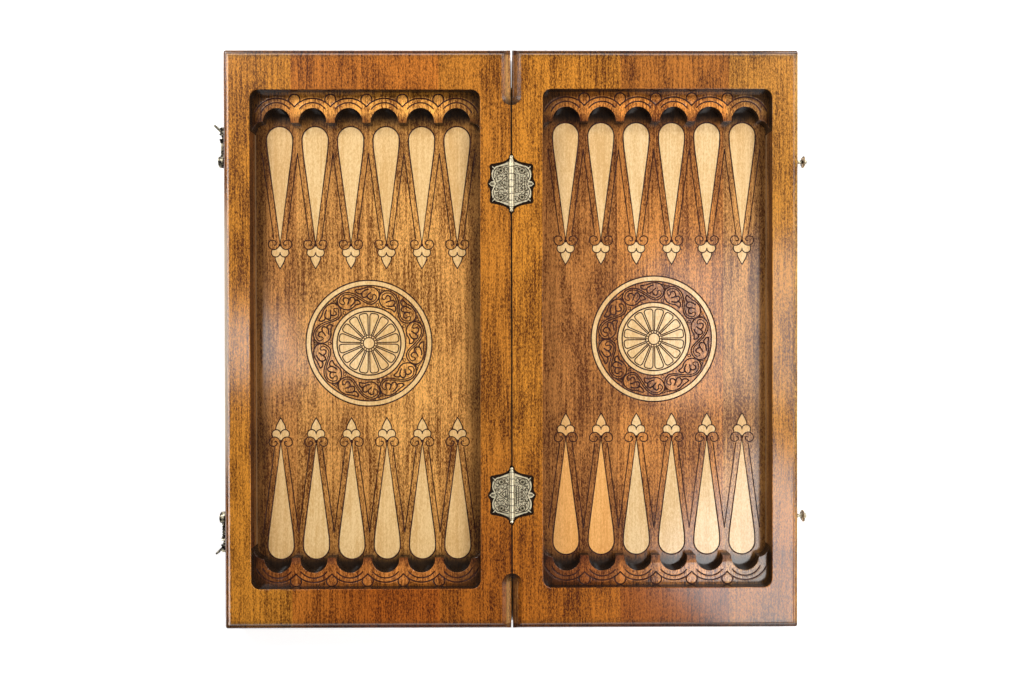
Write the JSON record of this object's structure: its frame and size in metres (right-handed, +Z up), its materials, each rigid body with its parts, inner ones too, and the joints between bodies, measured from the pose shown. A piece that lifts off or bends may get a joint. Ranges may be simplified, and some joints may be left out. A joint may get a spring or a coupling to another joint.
{
  "type": "folding backgammon and chess case",
  "caption": "Carved wooden backgammon case lying open, two hinged trays with arched shelves at the ends, a chessboard on the outer faces, and hook latches on the edges.",
  "frame": {"origin": "on the table under the middle of the seam, with the case lying open", "axes": "+X across the two halves from the hook side to the catch side, +Y along the seam, +Z up"},
  "size_m": [0.6202, 0.6, 0.0327],
  "materials": {
    "stained_beech": "stained and lacquered beech with unstained pale figures and burnt outlines",
    "hinge_brass": "antiqued cast brass, rubbed bright on the raised scrolls",
    "screw_brass": "dark bronzed screws",
    "latch_brass": "antiqued brass, dark in the hollows"
  },
  "bodies": {
    "right_half": {"right_spine_stave": "stained_beech", "right_middle_stave": "stained_beech", "right_outer_stave": "stained_beech", "upper_hinge_right_leaf": "hinge_brass", "upper_hinge_right_screws": "screw_brass", "lower_hinge_right_leaf": "hinge_brass", "lower_hinge_right_screws": "screw_brass", "upper_catch_flange": "latch_brass", "upper_catch_post": "latch_brass", "lower_catch_flange": "latch_brass", "lower_catch_post": "latch_brass"},
    "left_half": {"left_outer_stave": "stained_beech", "left_outer_middle_stave": "stained_beech", "left_inner_middle_stave": "stained_beech", "left_spine_stave": "stained_beech", "upper_hinge_left_leaf": "hinge_brass", "upper_hinge_left_screws": "screw_brass", "upper_hinge_pin": "hinge_brass", "lower_hinge_left_leaf": "hinge_brass", "lower_hinge_left_screws": "screw_brass", "lower_hinge_pin": "hinge_brass", "upper_hook_washer": "latch_brass", "upper_hook_stud": "latch_brass", "lower_hook_washer": "latch_brass", "lower_hook_stud": "latch_brass"},
    "upper_hook": {"upper_hook": "latch_brass"},
    "lower_hook": {"lower_hook": "latch_brass"}
  },
  "joints": [
    {"name": "fold", "type": "hinge", "parent": "right_half", "child": "left_half", "pos_m": [0, 0, 0.03015], "axis": [0, 1, 0], "range_deg": [0, 180]},
    {"name": "upper_hook_swing", "type": "hinge", "parent": "left_half", "child": "upper_hook", "pos_m": [-0.3, 0.186, 0.0175], "axis": [1, 0, 0], "range_deg": [-15, 90]},
    {"name": "lower_hook_swing", "type": "hinge", "parent": "left_half", "child": "lower_hook", "pos_m": [-0.3, -0.186, 0.0175], "axis": [-1, 0, 0], "range_deg": [-15, 90]}
  ]
}
